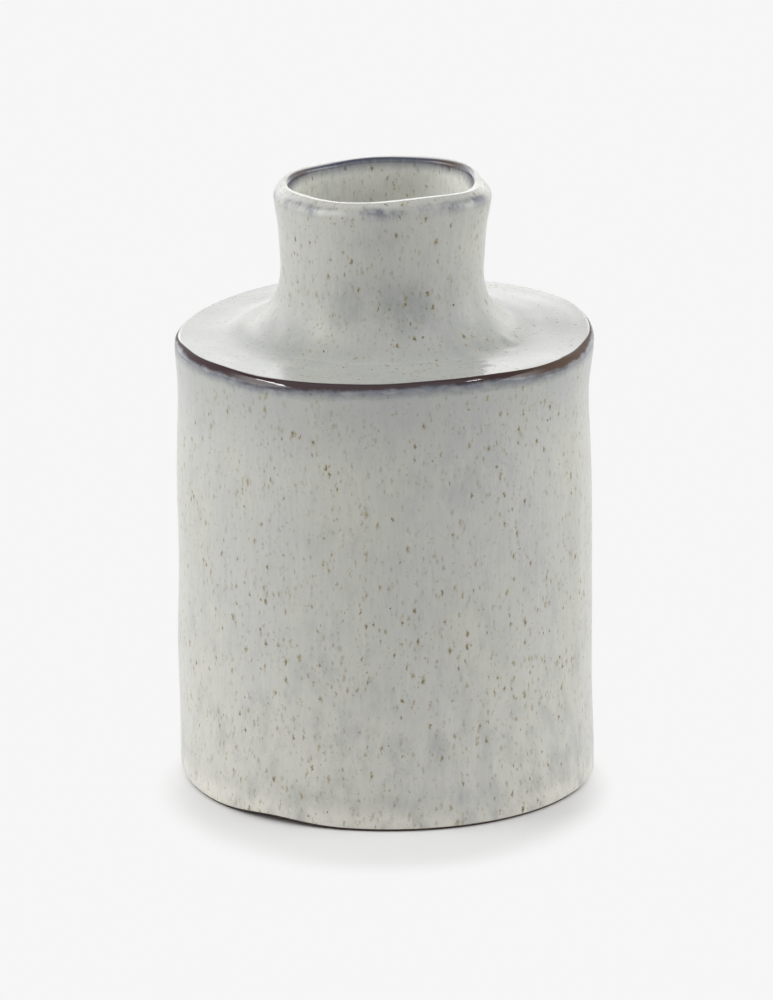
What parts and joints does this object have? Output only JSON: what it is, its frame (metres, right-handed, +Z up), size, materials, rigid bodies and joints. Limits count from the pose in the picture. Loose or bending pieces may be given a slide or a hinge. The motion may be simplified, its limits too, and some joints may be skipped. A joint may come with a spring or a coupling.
{
  "type": "bottle vase",
  "caption": "Hand-built stoneware bottle vase: a wide upright cylinder body with a flat shoulder and a short wide neck that ends in a rounded lip, open at the top for water and stems.",
  "frame": {"origin": "centre of the foot, on the surface the vase stands on", "axes": "+Z up along the vase's axis, -Y towards the viewer of the picture, +X to the viewer's right"},
  "size_m": [0.15, 0.1489, 0.2187],
  "materials": {
    "bare_clay": "matte unglazed stoneware, toasted grey-brown",
    "clay": "matte stoneware under the glaze",
    "rim_clay": "dark brown-black clay showing through a thin glassy film of glaze",
    "body_glaze": "satin-gloss pale grey-green glaze with small brown specks",
    "shoulder_glaze": "glossy pale grey-green glaze with small brown specks",
    "liner_glaze": "glossy pale grey-green glaze"
  },
  "bodies": {
    "root": {"base_slab": "bare_clay", "body_wall": "clay", "shoulder_slab": "rim_clay", "neck_collar": "clay", "neck_root_coil": "clay", "body_glaze": "body_glaze", "shoulder_glaze": "shoulder_glaze", "liner_glaze": "liner_glaze"}
  },
  "joints": []
}
